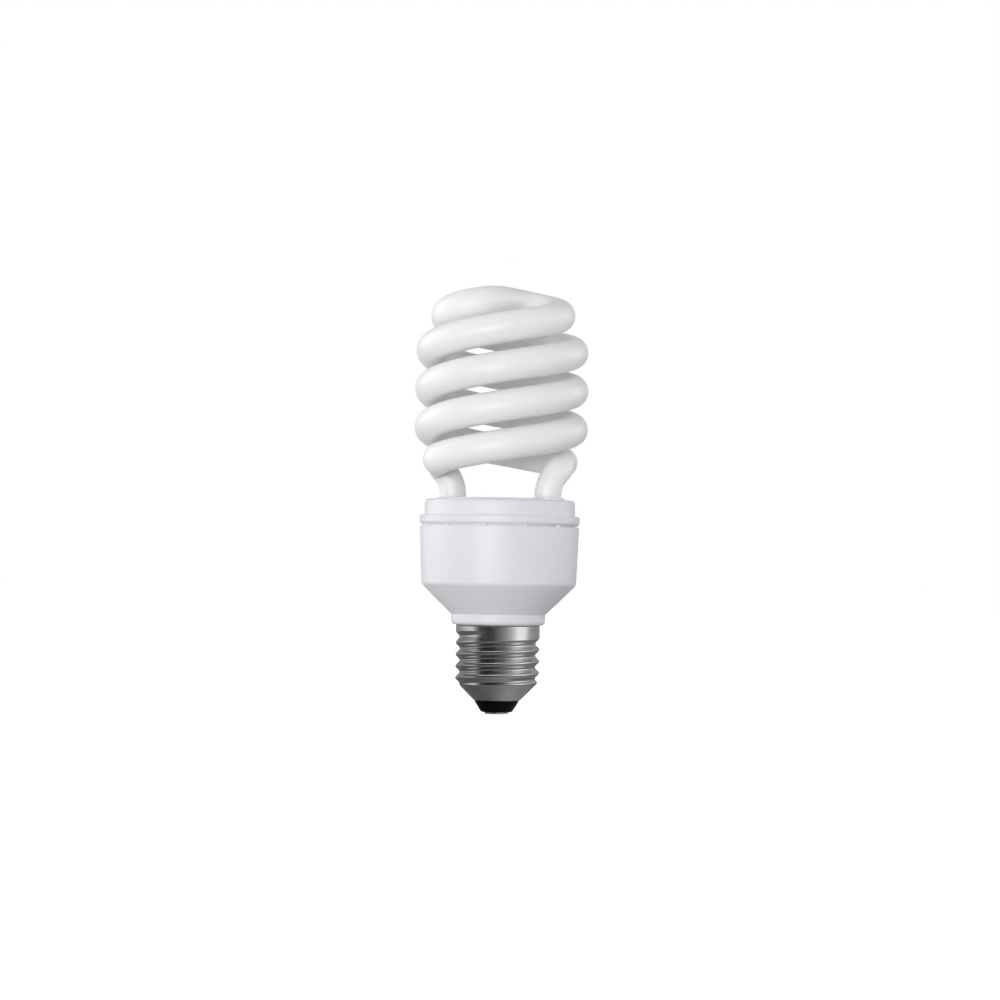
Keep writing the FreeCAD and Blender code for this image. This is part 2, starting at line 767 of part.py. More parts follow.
def lamp_choke():
    window_width = "window_edge - choke_middle / 2"
    window_y = "(window_edge + choke_middle / 2) / 2"
    for half, base, window_base in (("lower", "choke_base", "window_low"), ("upper", "choke_split", "choke_split")):
        core = block(f"choke_{half}_block", "choke_thickness", "choke_width", "choke_height / 2",
                     "choke_x", "0", base)
        window_height = "choke_height / 2 - choke_back"
        windows = [block(f"choke_{half}_window_{row}", "choke_thickness", window_width, window_height,
                         "choke_x", side + window_y, window_base) for row, side in enumerate(("", "-"), 1)]
        air_base = "choke_split - choke_air / 2" if half == "lower" else "choke_split"
        air = block(f"choke_{half}_air", "choke_thickness", "choke_middle", "choke_air / 2",
                    "choke_x", "0", air_base)
        piece(cut(f"choke_core_{half}", core, *windows, air))

    sleeve_bore_x, sleeve_bore_y = "choke_thickness + 2 * fit_gap", "choke_middle + 2 * fit_gap"
    sleeve_x, sleeve_y = f"{sleeve_bore_x} + 2 * bobbin_wall", f"{sleeve_bore_y} + 2 * bobbin_wall"
    low, high = "window_low + fit_gap", "window_high - fit_gap"
    flange_y = "2 * (window_edge - fit_gap)"
    sleeve = block("bobbin_sleeve", sleeve_x, sleeve_y, f"{high} - ({low})", "choke_x", "0", low)
    flanges = [block(f"bobbin_flange_{row}", "choke_depth", flange_y, "bobbin_wall", "choke_x", "0", base)
               for row, base in enumerate((low, f"{high} - bobbin_wall"), 1)]
    bore = block("bobbin_bore", sleeve_bore_x, sleeve_bore_y, "choke_height", "choke_x", "0", "choke_base")
    former = cut("bobbin_former", fused("bobbin_moulding", sleeve, *flanges), bore)
    lead_x = "choke_x + choke_depth / 2 - close_gap"
    with_leads("choke_bobbin", former, high,
               (lead_x, "bobbin_lead_spacing / 2"), (lead_x, "-bobbin_lead_spacing / 2"))

    wind_low, wind_high = f"{low} + bobbin_wall + fit_gap", f"{high} - bobbin_wall - fit_gap"
    coil = block("choke_coil", "choke_depth - 2 * close_gap", f"{flange_y} - 2 * fit_gap",
                 f"{wind_high} - ({wind_low})", "choke_x", "0", wind_low)
    coil = upright_edges_rounded("choke_coil_round", coil, "close_gap")
    room = block("choke_coil_room", f"{sleeve_x} + 2 * fit_gap", f"{sleeve_y} + 2 * fit_gap", "choke_height",
                 "choke_x", "0", "choke_base")
    piece(cut("choke_winding", coil, room))


def ring_transformer():
    core_base = "ring_level - ring_thickness / 2"
    outer = cylinder("ring_disc", "ring_outer", "ring_thickness", "ring_x", "ring_y", core_base)
    inner = cylinder("ring_bore", "ring_inner", "ring_thickness", "ring_x", "ring_y", core_base)
    piece(cut("ring_core", outer, inner))
    loops = []
    for winding in range(round(360 / number("winding_angle"))):
        for turn in range(int(number("loops_in_winding"))):
            angle = f"({winding} * winding_angle + {turn} * loop_angle)"
            loop = doc.addObject("Part::Torus", f"ring_loop_{len(loops) + 1}")
            bind(loop, Radius1="loop_radius", Radius2="loop_wire")
            spin = Rotation(UP, number(angle))
            loop.Placement.Rotation = Rotation(UP, spin.multVec(Vector(0, 1, 0)))
            put(loop, f"ring_x + ring_middle * cos({angle})", f"ring_y + ring_middle * sin({angle})", "ring_level")
            loops.append(loop)
    group = doc.addObject("Part::Compound", "ring_windings")
    group.Links = loops
    piece(group)


def transistors():
    for name, x, y in (("transistor_1", "case_x", "case_y"), ("transistor_2", "rear_case_x", "rear_case_y")):
        case = block(name + "_block", "case_width", "case_thickness", "case_height", x, y,
                     "case_top - case_height")
        hole = cylinder(name + "_hole", "case_hole", "case_thickness")
        hole.Placement.Rotation = Rotation(Vector(1, 0, 0), -90)
        put(hole, x, f"{y} - case_thickness / 2", "case_top - case_height + case_hole_drop")
        legs = [(f"{x} + {side} * case_lead_spacing", y) for side in (-1, 0, 1)]
        with_leads(name, cut(name + "_case", case, hole), "case_top", *legs)


def film_capacitors():
    for kind in ("resonant", "blocking", "timing"):
        x, y, spacing = f"{kind}_x", f"{kind}_y", f"{kind}_spacing"
        top = "hang_level - film_stand"
        case = block(f"{kind}_block", f"{kind}_length", f"{kind}_thickness", f"{kind}_height", x, y,
                     f"{top} - {kind}_height")
        case = upright_edges_rounded(f"{kind}_case", case, "film_round")
        with_leads(f"{kind}_capacitor", case, top, (f"{x} - {spacing} / 2", y), (f"{x} + {spacing} / 2", y))


def mains_filter_choke():
    base = "hang_level - drum_height"
    low, high = f"{base} + drum_flange", "hang_level - drum_flange"
    drum = turned("filter_drum", [
        ("0", base), ("drum_radius", base), ("drum_radius", low), ("drum_waist", low), ("drum_waist", high),
        ("drum_radius", high), ("drum_radius", "hang_level"), ("0", "hang_level")])
    put(drum, "drum_x", "drum_y")
    with_leads("filter_choke_core", drum, "hang_level",
               ("drum_x", "drum_y + drum_lead_spacing / 2"), ("drum_x", "drum_y - drum_lead_spacing / 2"))
    waist = "drum_waist + fit_gap"
    winding = turned("filter_choke_winding", [
        (waist, f"{low} + fit_gap"), (f"{waist} + drum_winding", f"{low} + fit_gap"),
        (f"{waist} + drum_winding", f"{high} - fit_gap"), (waist, f"{high} - fit_gap")])
    piece(put(winding, "drum_x", "drum_y"))


def diodes_and_resistors():
    rectifier = (("bridge_x", "bridge_y"), ("rear_bridge_x", "rear_bridge_y"),
                 ("flank_x", "flank_y"), ("flank_x", "-flank_y"))
    for index, (x, y) in enumerate(rectifier, 1):
        axial_component(f"rectifier_diode_{index}", "diode_radius", "diode_length", "diode_span", x, y, "x")
    axial_component("trigger_diode", "trigger_radius", "trigger_length", "trigger_span",
                    "trigger_x", "trigger_y", "y")
    resistor = ("resistor_radius", "resistor_length", "resistor_span")
    axial_component("base_resistor_1", *resistor, "base_one_x", "base_one_y", "y")
    axial_component("base_resistor_2", *resistor, "base_two_x", "base_two_y", "x")
    axial_component("start_resistor", *resistor, "start_x", "start_y", "x")


# Mains wires between the cap and the board

def fuse_resistor():
    body = cylinder("fuse_case", "fuse_radius", "fuse_length", "0", "0", "fuse_base")
    stem = cylinder("fuse_stem", "lead_radius", "fuse_base + lead_root - (contact_height + fit_gap)",
                    "0", "0", "contact_height + fit_gap")
    turn_level = "fuse_top + fuse_rise"
    tail = [point("0", "0", "fuse_top - lead_root"), point("0", "0", turn_level),
            point("riser_x", "riser_y", f"{turn_level} + riser_height"),
            point("riser_x", "riser_y", "board_top + lead_tail")]
    board_hole("riser_x", "riser_y")
    return piece(fused("fuse_resistor", body, stem, bent_wire("fuse_tail", tail, "lead_radius")))


def shell_lead():
    x, y = "riser_x", "-riser_y"
    stretch = "(root_bore - fit_gap) / hypot(riser_x; riser_y)"
    route = [point(x, y, "board_top + lead_tail"), point(x, y, "shell_lead_level"),
             point(f"{x} * {stretch}", f"{y} * {stretch}", "shell_lead_level")]
    board_hole(x, y)
    return piece(bent_wire("shell_lead", route, "lead_radius"))


# Filament wires from the tube's legs to the posts on the board

def filament_connections():
    count = 0
    for leg_x, leg_y, angle in leg_places():
        for side in (-1, 1):
            count += 1
            post_angle = f"({angle} + {side} * post_spread)"
            post_x, post_y = f"post_place * cos({post_angle})", f"post_place * sin({post_angle})"
            board_hole(post_x, post_y, "post_radius")
            piece(cylinder(f"filament_post_{count}", "post_radius", "board_thickness + post_height",
                           post_x, post_y, "board_base"))
            start_x = f"{leg_x} - {side} * filament_offset * sin({angle})"
            start_y = f"{leg_y} + {side} * filament_offset * cos({angle})"
            corner = point(start_x, start_y, "wire_level")
            post = point(post_x, post_y, "wire_level")
            stop = post - (post - corner).normalize() * number("post_radius + fit_gap")
            route = [point(start_x, start_y, "leg_foot"), corner, stop]
            piece(bent_wire(f"filament_lead_{count}", route, "filament_wire"))


def circuit_board():
    disc = cylinder("board_disc", "board_radius", "board_thickness", "0", "0", "board_base")
    return piece(cut("circuit_board", disc, *board_holes))


spiral_tube()
tube_holder()
leg_cement()
ballast_housing()
screw_shell()
insulator()
centre_contact()
smoothing_capacitor()
lamp_choke()
ring_transformer()
transistors()
film_capacitors()
mains_filter_choke()
diodes_and_resistors()
fuse_resistor()
shell_lead()
filament_connections()
circuit_board()
doc.recompute()

for item in doc.Objects:
    if "Invalid" in item.State or "Error" in item.State:
        raise RuntimeError(f"{item.Label} did not build: {item.State}")
for item in pieces:
    if item.Shape.isNull() or not item.Shape.isValid():
        raise RuntimeError(f"{item.Label} has no valid shape")

os.makedirs("parts", exist_ok=True)
for item in pieces:
    item.Shape.exportStep(f"parts/{item.Label}.step")
    print(f"{item.Label}: {len(item.Shape.Solids)} solid, {item.Shape.Volume:.2f} mm3")
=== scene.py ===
import functools
import json
import math

import bmesh
import bpy
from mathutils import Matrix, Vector, noise


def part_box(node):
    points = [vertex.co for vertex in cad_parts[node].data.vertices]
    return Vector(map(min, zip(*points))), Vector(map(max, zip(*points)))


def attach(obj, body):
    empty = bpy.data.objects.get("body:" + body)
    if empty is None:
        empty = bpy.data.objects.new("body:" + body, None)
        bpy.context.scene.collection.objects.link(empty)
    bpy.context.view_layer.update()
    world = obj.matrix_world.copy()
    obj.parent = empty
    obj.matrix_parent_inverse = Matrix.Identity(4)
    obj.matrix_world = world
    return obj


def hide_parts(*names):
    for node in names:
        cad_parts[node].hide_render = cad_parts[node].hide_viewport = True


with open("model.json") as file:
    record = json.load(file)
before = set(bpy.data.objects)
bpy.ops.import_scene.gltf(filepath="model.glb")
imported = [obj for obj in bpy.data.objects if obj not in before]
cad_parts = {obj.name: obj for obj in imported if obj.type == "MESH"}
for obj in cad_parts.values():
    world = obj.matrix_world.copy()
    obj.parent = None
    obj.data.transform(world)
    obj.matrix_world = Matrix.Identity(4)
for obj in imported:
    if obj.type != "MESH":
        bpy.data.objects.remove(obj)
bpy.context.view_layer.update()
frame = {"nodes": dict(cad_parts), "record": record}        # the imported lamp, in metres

mm = 0.001
print("frame loaded:", len(frame["nodes"]), "nodes")


@functools.cache
def nodeBox(node):
    low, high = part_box(node)
    return low / mm, high / mm


def smoothStep(low, high, value):
    share = min(max((value - low) / (high - low), 0.0), 1.0)
    return share * share * (3 - 2 * share)


# Mesh tools. Outlines are (radius, height) in millimetres

def roundedOutline(corners, arcSteps=6):
    outline = []
    for index, (radius, height, soft) in enumerate(corners):
        here = Vector((radius, height))
        if soft == 0:
            outline.append(here)
            continue
        back = (Vector(corners[index - 1][:2]) - here).normalized()
        ahead = (Vector(corners[(index + 1) % len(corners)][:2]) - here).normalized()
        half = back.angle(ahead) / 2
        centre = here + (back + ahead).normalized() * (soft / math.sin(half))
        first = here + back * (soft / math.tan(half)) - centre
        last = here + ahead * (soft / math.tan(half)) - centre
        start = math.atan2(first.y, first.x)
        sweep = (math.atan2(last.y, last.x) - start + math.pi) % (2 * math.pi) - math.pi
        for step in range(arcSteps + 1):
            angle = start + sweep * step / arcSteps
            outline.append(centre + Vector((math.cos(angle), math.sin(angle))) * soft)
    return outline


def evenAngles(count):
    return [2 * math.pi * step / count for step in range(count)]


def bridge(mesh, ring, nextRing):
    # one band of faces between two rings; a ring of one vertex lies on the axis
    count = max(len(ring), len(nextRing))
    if count == 1:
        return
    for step in range(count):
        after = (step + 1) % count
        corners = [ring[step % len(ring)], ring[after % len(ring)],
                   nextRing[after % len(nextRing)], nextRing[step % len(nextRing)]]
        mesh.faces.new(list(dict.fromkeys(corners)))


def ringSolid(rings, closed):
    mesh = bmesh.new()
    vertexRings = [[mesh.verts.new(Vector(spot) * mm) for spot in ring] for ring in rings]
    for ring, nextRing in zip(vertexRings, vertexRings[1:]):
        bridge(mesh, ring, nextRing)
    if closed:
        bridge(mesh, vertexRings[-1], vertexRings[0])
    bmesh.ops.recalc_face_normals(mesh, faces=mesh.faces)
    return mesh


def turnedRings(outline, angles, middle=(0, 0), radiusAt=None):
    rings = []
    for row, (radius, height) in enumerate(outline):
        if radius == 0:
            rings.append([(middle[0], middle[1], height)])
            continue
        ring = []
        for angle in angles:
            reach = radiusAt(row, radius, height, angle) if radiusAt else radius
            ring.append((middle[0] + reach * math.cos(angle),
                         middle[1] + reach * math.sin(angle), height))
        rings.append(ring)
    return rings


def turnedSolid(outline, angles, middle=(0, 0), radiusAt=None):
    return ringSolid(turnedRings(outline, angles, middle, radiusAt), closed=outline[-1][0] > 0)


sharpEdge = 32       # degrees between two faces, past which their edge shows


def smoothFaces(data, sharpDegrees):
    data.shade_smooth()
    data.set_sharp_from_angle(angle=math.radians(sharpDegrees))


def makeObject(name, mesh, sharpDegrees=sharpEdge):
    data = bpy.data.meshes.new(name)
    mesh.to_mesh(data)
    mesh.free()
    smoothFaces(data, sharpDegrees)
    piece = bpy.data.objects.new(name, data)
    bpy.context.scene.collection.objects.link(piece)
    return piece


def combine(piece, tools, operation):
    # the tools are used up, and their shape stays in the piece
    for tool in tools:
        modifier = piece.modifiers.new(operation.lower(), "BOOLEAN")
        modifier.object = tool
        modifier.operation = operation
        modifier.solver = "EXACT"
    graph = bpy.context.evaluated_depsgraph_get()
    data = bpy.data.meshes.new_from_object(piece.evaluated_get(graph))
    piece.modifiers.clear()
    piece.data = data
    smoothFaces(data, sharpEdge)
    for tool in tools:
        bpy.data.objects.remove(tool)


def seat(piece, slot, material, *nodes):
    piece.data.materials.clear()
    piece.data.materials.append(material)
    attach(piece, "root")
    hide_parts(*nodes)
    print("made", piece.name, "with", len(piece.data.polygons), "faces")


# Shared finishes as node groups

def newGroup(name, inputs, outputs):
    group = bpy.data.node_groups.new(name, "ShaderNodeTree")
    for label, kind, value in inputs:
        socket = group.interface.new_socket(name=label, in_out="INPUT", socket_type=kind)
        socket.default_value = value
    for label, kind in outputs:
        group.interface.new_socket(name=label, in_out="OUTPUT", socket_type=kind)
    return group, group.nodes.new("NodeGroupInput"), group.nodes.new("NodeGroupOutput")


floatSocket = "NodeSocketFloat"
colorSocket = "NodeSocketColor"


def noiseOn(tree, place, scale, detail):
    texture = tree.nodes.new("ShaderNodeTexNoise")
    texture.inputs["Detail"].default_value = detail
    tree.links.new(place, texture.inputs["Vector"])
    tree.links.new(scale, texture.inputs["Scale"])
    return texture.outputs["Fac"]


def remap(tree, value, fromLow, fromHigh, toLow=0.0, toHigh=1.0):
    # each bound is a number, or a socket that gives it
    node = tree.nodes.new("ShaderNodeMapRange")
    tree.links.new(value, node.inputs["Value"])
    bounds = {"From Min": fromLow, "From Max": fromHigh, "To Min": toLow, "To Max": toHigh}
    for label, bound in bounds.items():
        if isinstance(bound, bpy.types.NodeSocket):
            tree.links.new(bound, node.inputs[label])
        else:
            node.inputs[label].default_value = bound
    return node.outputs["Result"]


def mixColors(tree, mask, first, second):
    node = tree.nodes.new("ShaderNodeMix")
    node.data_type = "RGBA"
    tree.links.new(mask, node.inputs["Factor"])
    tree.links.new(first, node.inputs[6])      # the mix node's colour sockets
    tree.links.new(second, node.inputs[7])
    return node.outputs[2]


noiseSpan = (0.3, 0.7)       # the part of its range that a noise fills


def mottleGroup():
    # slow change of colour and gloss over a surface
    group, given, result = newGroup("mottle", [
        ("Light", colorSocket, (1, 1, 1, 1)), ("Dark", colorSocket, (0.8, 0.8, 0.8, 1)),
        ("Patches", floatSocket, 60.0),
        ("Gloss Low", floatSocket, 0.3), ("Gloss High", floatSocket, 0.4)],
        [("Color", colorSocket), ("Roughness", floatSocket)])
    place = group.nodes.new("ShaderNodeTexCoord").outputs["Object"]
    patches = noiseOn(group, place, given.outputs["Patches"], detail=4.0)
    mask = remap(group, patches, *noiseSpan)
    color = mixColors(group, mask, given.outputs["Dark"], given.outputs["Light"])
    gloss = remap(group, patches, *noiseSpan, given.outputs["Gloss Low"], given.outputs["Gloss High"])
    group.links.new(color, result.inputs["Color"])
    group.links.new(gloss, result.inputs["Roughness"])
    return group


def grainGroup():
    # fine even texture, as of a moulded or cast skin
    group, given, result = newGroup("grain", [
        ("Fineness", floatSocket, 3000.0), ("Swell", floatSocket, 80.0),
        ("Swell Share", floatSocket, 0.5)],
        [("Height", floatSocket)])
    place = group.nodes.new("ShaderNodeTexCoord").outputs["Object"]
    fine = noiseOn(group, place, given.outputs["Fineness"], detail=2.0)
    slow = noiseOn(group, place, given.outputs["Swell"], detail=1.0)
    blend = group.nodes.new("ShaderNodeMix")
    group.links.new(given.outputs["Swell Share"], blend.inputs["Factor"])
    group.links.new(fine, blend.inputs["A"])
    group.links.new(slow, blend.inputs["B"])
    group.links.new(blend.outputs["Result"], result.inputs["Height"])
    return group


def rolledGroup():
    # fine lines that run round the axis, as left by rolling or winding
    group, given, result = newGroup("rolledLines", [
        ("Lines", floatSocket, 2500.0), ("Length", floatSocket, 0.02)],
        [("Height", floatSocket)])
    place = group.nodes.new("ShaderNodeTexCoord").outputs["Object"]
    stretch = group.nodes.new("ShaderNodeCombineXYZ")
    group.links.new(given.outputs["Length"], stretch.inputs["X"])
    group.links.new(given.outputs["Length"], stretch.inputs["Y"])
    stretch.inputs["Z"].default_value = 1.0
    squeeze = group.nodes.new("ShaderNodeVectorMath")
    squeeze.operation = "MULTIPLY"
    group.links.new(place, squeeze.inputs[0])
    group.links.new(stretch.outputs["Vector"], squeeze.inputs[1])
    lines = noiseOn(group, squeeze.outputs["Vector"], given.outputs["Lines"], detail=3.0)
    group.links.new(lines, result.inputs["Height"])
    return group


mottle, grain, rolledLines = mottleGroup(), grainGroup(), rolledGroup()
print("finishes grouped")


def newMaterial(name):
    material = bpy.data.materials.new(name)
    material.use_nodes = True
    return material, material.node_tree, material.node_tree.nodes["Principled BSDF"]


def placeGroup(tree, group, values):
    node = tree.nodes.new("ShaderNodeGroup")
    node.node_tree = group
    for label, value in values.items():
        node.inputs[label].default_value = value
    return node


def addBump(tree, shader, height, strength, depth):
    bump = tree.nodes.new("ShaderNodeBump")
    bump.inputs["Strength"].default_value = strength
    bump.inputs["Distance"].default_value = depth
    tree.links.new(height, bump.inputs["Height"])
    tree.links.new(bump.outputs["Normal"], shader.inputs["Normal"])


def finish(name, look):
    # colour and gloss from the mottle, relief from the grain or from the rolled lines
    material, tree, shader = newMaterial(name)
    spread = placeGroup(tree, mottle, look["mottle"])
    tree.links.new(spread.outputs["Color"], shader.inputs["Base Color"])
    tree.links.new(spread.outputs["Roughness"], shader.inputs["Roughness"])
    relief = placeGroup(tree, rolledLines if "Lines" in look["relief"] else grain, look["relief"])
    addBump(tree, shader, relief.outputs["Height"], look["bump"], look["depth"])
    for label, value in look["sockets"].items():
        shader.inputs[label].default_value = value
    return material


# Spiral tube: white powder behind clear glass

spiral = {
    "tubeRadius": 4.86,
    "legRadius": 4.1,
    "coilRadius": 22.15,
    "lead": 24.0,            # drop of one strand in a full turn
    "turns": 2.05,
    "crownAngle": 52.7,
    "crownSpread": 60.0,
    "elbowReach": 3.5,
    "bendReach": 4.6,        # from the start of the bend to its corner
    "bendOut": 3.6,          # how far the bend stands out from the leg's axis
    "bendBack": 6.8,         # degrees short of the leg
    "bendHeading": -92.0,    # degrees, the way that the strand runs into the bend
    "bendSlope": 0.24,
    "bendTension": 0.55,
    "bendHeight": 9.6,       # above the leg's rim
    "bendFlat": 0.8,         # the bent glass is thinner here
    "bendFlatReach": 7.0,
    "taperEnd": 0.6,         # share of the elbow in which the tube narrows
    "bendEase": 1.6,         # from the bend's corner to the end of the bend
    "legRise": 4.5,          # the leg is nearly upright so far
    "legStraight": 0.4,
    "spacing": 0.8,
    "sides": 48,
    "glass": {
        "mottle": {"Light": (0.90, 0.90, 0.90, 1), "Dark": (0.87, 0.87, 0.87, 1), "Patches": 45.0,
                   "Gloss Low": 0.42, "Gloss High": 0.50},
        "relief": {"Fineness": 400.0, "Swell": 70.0, "Swell Share": 0.85},
        "bump": 0.06, "depth": 0.0012,
        "sockets": {"IOR": 1.5, "Coat Weight": 0.15, "Coat Roughness": 0.25, "Coat IOR": 1.5,
                    "Subsurface Weight": 0.7, "Subsurface Radius": (1.0, 1.0, 1.0),
                    "Subsurface Scale": 0.004},
    },
}


def crownKnee():
    # the run in which the straight middle of the crown turns into the coil
    return spiral["coilRadius"] / (2 * math.radians(spiral["crownSpread"]))


def coilPoint(run, crownLevel):
    # run is the way along the strand from the crown, where the two strands join
    radius = spiral["coilRadius"]
    spread = math.radians(spiral["crownSpread"])
    knee = crownKnee()
    turnedBy = (math.hypot(knee, run) - knee) / radius
    reach = radius * math.sqrt(1 - math.exp(-turnedBy / spread))
    angle = math.radians(spiral["crownAngle"]) - turnedBy
    drop = spiral["lead"] * turnedBy / (2 * math.pi)
    return Vector((reach * math.cos(angle), reach * math.sin(angle), crownLevel - drop))


def bezier(poles, share):
    rest = 1 - share
    weights = (rest ** 3, 3 * rest ** 2 * share, 3 * rest * share ** 2, share ** 3)
    return sum((pole * weight for pole, weight in zip(poles, weights)), Vector((0, 0, 0)))


def strandStations():
    tubeLow, tubeHigh = nodeBox("spiral_tube")
    cementLow, cementHigh = nodeBox("leg_cement_1")
    wide, narrow, spacing = spiral["tubeRadius"], spiral["legRadius"], spiral["spacing"]
    crownLevel = tubeHigh.z - wide
    knee = crownKnee()
    coilLength = math.radians(360 * spiral["turns"]) * spiral["coilRadius"]
    fullRun = math.sqrt((coilLength + knee) ** 2 - knee ** 2)
    steps = round(fullRun / spacing)
    stations = [(coilPoint(fullRun * step / steps, crownLevel), wide) for step in range(steps + 1)]

    start = stations[-1][0]
    heading = coilPoint(fullRun + spacing, crownLevel) - coilPoint(fullRun - spacing, crownLevel)
    heading.normalize()
    rimLevel = nodeBox("tube_holder")[1].z
    foot = (cementLow + cementHigh) / 2
    foot.z = rimLevel + spiral["legStraight"]
    outward = math.atan2(foot.y, foot.x) + math.radians(spiral["bendBack"])
    reach = foot.xy.length + spiral["bendOut"]
    bendLevel = rimLevel + spiral["bendHeight"]
    corner = Vector((reach * math.cos(outward), reach * math.sin(outward), bendLevel))
    bearing = math.radians(spiral["bendHeading"])
    arrival = Vector((math.cos(bearing), math.sin(bearing), -spiral["bendSlope"])).normalized()
    legTop = foot + Vector((0, 0, spiral["legRise"]))
    fall = (legTop - corner).normalized()
    bendStart = corner - arrival * spiral["bendReach"]
    bendEnd = corner + fall * spiral["bendEase"]
    pull, tension = spiral["elbowReach"], spiral["bendTension"]
    sections = [
        [start, start + heading * pull, bendStart - arrival * pull, bendStart],
        [bendStart, bendStart.lerp(corner, tension), bendEnd.lerp(corner, tension), bendEnd],
        [bendEnd, bendEnd + fall * spiral["bendEase"], legTop, foot]]
    elbow = []
    for poles in sections:
        steps = round((poles[3] - poles[0]).length / spacing) + 1
        elbow += [bezier(poles, step / steps) for step in range(1, steps + 1)]
    for index, spot in enumerate(elbow):
        narrowed = smoothStep(0, spiral["taperEnd"], index / len(elbow))
        stations.append((spot, wide + (narrow - wide) * narrowed))
    legLength = foot.z - tubeLow.z
    steps = round(legLength / spacing)
    for step in range(1, steps + 1):
        stations.append((foot - Vector((0, 0, legLength * step / steps)), narrow))
    return stations, corner, (arrival - fall).normalized()


def flattened(offset, spot, bends):
    # the tube's wall is drawn in at the bends
    for corner, facing in bends:
        near = 1 - smoothStep(0, spiral["bendFlatReach"], (spot - corner).length)
        offset = offset - facing * offset.dot(facing) * (1 - spiral["bendFlat"]) * near
    return offset


def spiralTube():
    half, corner, facing = strandStations()
    opposite = Vector((-1, -1, 1))
    other = [(spot * opposite, radius) for spot, radius in half]
    bends = [(corner, facing), (corner * opposite, facing * opposite)]
    stations = other[::-1] + half[1:]
    last = len(stations) - 1
    across = Vector((1, 0, 0))
    angles = evenAngles(spiral["sides"])
    rings = [[stations[0][0]]]
    for index, (spot, radius) in enumerate(stations):
        ahead = (stations[min(index + 1, last)][0] - stations[max(index - 1, 0)][0]).normalized()
        across = (across - ahead * across.dot(ahead)).normalized()
        beside = ahead.cross(across)
        offsets = [(across * math.cos(angle) + beside * math.sin(angle)) * radius for angle in angles]
        rings.append([spot + flattened(offset, spot, bends) for offset in offsets])
    rings.append([stations[-1][0]])
    piece = makeObject("spiralTube", ringSolid(rings, closed=False), sharpDegrees=60)
    seat(piece, "phosphor_glass", finish("phosphorGlass", spiral["glass"]), "spiral_tube")


spiralTube()


# White mouldings: the housing below and the tube holder above

whitePlastic = {
    "mottle": {"Light": (0.80, 0.815, 0.85, 1), "Dark": (0.775, 0.79, 0.825, 1), "Patches": 35.0,
               "Gloss Low": 0.39, "Gloss High": 0.47},
    "relief": {"Fineness": 2600.0, "Swell": 90.0, "Swell Share": 0.35},
    "bump": 0.06, "depth": 0.0006,
    "sockets": {"IOR": 1.48},
}
plasticFinish = finish("whitePlastic", whitePlastic)

housing = {
    "wall": 1.4,
    "draft": 0.7,
    "bodyHeight": 17.9,
    "ringOverhang": 1.6,
    "ringHeight": 3.4,
    "ringRound": 1.3,
    "ringTopRound": 0.1,
    "coneInset": 0.2,
    "coneSlope": 45.0,
    "coneFootRound": 0.08,
    "shoulderRound": 1.9,
    "edgeRound": 0.25,
    "innerRound": 0.6,
    "spigotRadius": 11.3,
    "spigotWall": 1.4,
    "collarInset": 0.45,       # the shell's sheet and a little play
    "collarHeight": 1.2,
    "ribAngle": 20,
    "ribCount": 4,
    "ribWidth": 1.5,
    "ribHeight": 8.0,
    "ribReach": 1.0,
    "columns": 192,
}


def ballastHousing():
    low, high = nodeBox("ballast_housing")
    shellHigh = nodeBox("screw_shell")[1]
    boardLow, boardHigh = nodeBox("circuit_board")
    edge, inner, wall = housing["edgeRound"], housing["innerRound"], housing["wall"]
    rim, capTop = high.x, shellHigh.z
    body = rim - housing["draft"]
    bodyBase = high.z - housing["bodyHeight"]
    ring = shellHigh.x + housing["ringOverhang"]
    ringTop = capTop + housing["ringHeight"]
    cone = ring + housing["coneInset"]
    bend = wall * math.tan(math.radians(housing["coneSlope"] / 2))
    spigot = housing["spigotRadius"]
    neck = spigot - housing["spigotWall"]
    collar = shellHigh.x - housing["collarInset"]
    collarBase = capTop - housing["collarHeight"]
    outline = roundedOutline([
        (neck, low.z, edge), (spigot, low.z, edge), (spigot, collarBase, 0),
        (collar, collarBase, 0), (collar, capTop, 0), (ring, capTop, housing["ringRound"]),
        (ring, ringTop, housing["ringTopRound"]), (cone, ringTop, housing["coneFootRound"]),
        (body, bodyBase, housing["shoulderRound"]),
        (rim, high.z, edge), (rim - wall, high.z, edge), (body - wall, bodyBase + bend, inner),
        (neck, bodyBase + bend - (body - wall - neck), inner)])
    piece = makeObject("ballastHousing", turnedSolid(outline, evenAngles(housing["columns"])))
    ribs = []
    ribStart, ribEnd = boardHigh.x - housing["ribReach"], body - wall / 2
    lengths = Vector((ribEnd - ribStart, housing["ribWidth"], housing["ribHeight"]))
    middle = Vector(((ribStart + ribEnd) / 2, 0, boardLow.z - housing["ribHeight"] / 2))
    for index in range(housing["ribCount"]):
        mesh = bmesh.new()
        bmesh.ops.create_cube(mesh, size=1)
        bmesh.ops.scale(mesh, vec=lengths * mm, verts=mesh.verts)
        bmesh.ops.translate(mesh, vec=middle * mm, verts=mesh.verts)
        rib = makeObject("boardRib%d" % (index + 1), mesh)
        rib.rotation_euler.z = math.radians(housing["ribAngle"] + 360 * index / housing["ribCount"])
        ribs.append(rib)
    bpy.context.view_layer.update()
    combine(piece, ribs, "UNION")
    seat(piece, "white_plastic", plasticFinish, "ballast_housing")


ballastHousing()

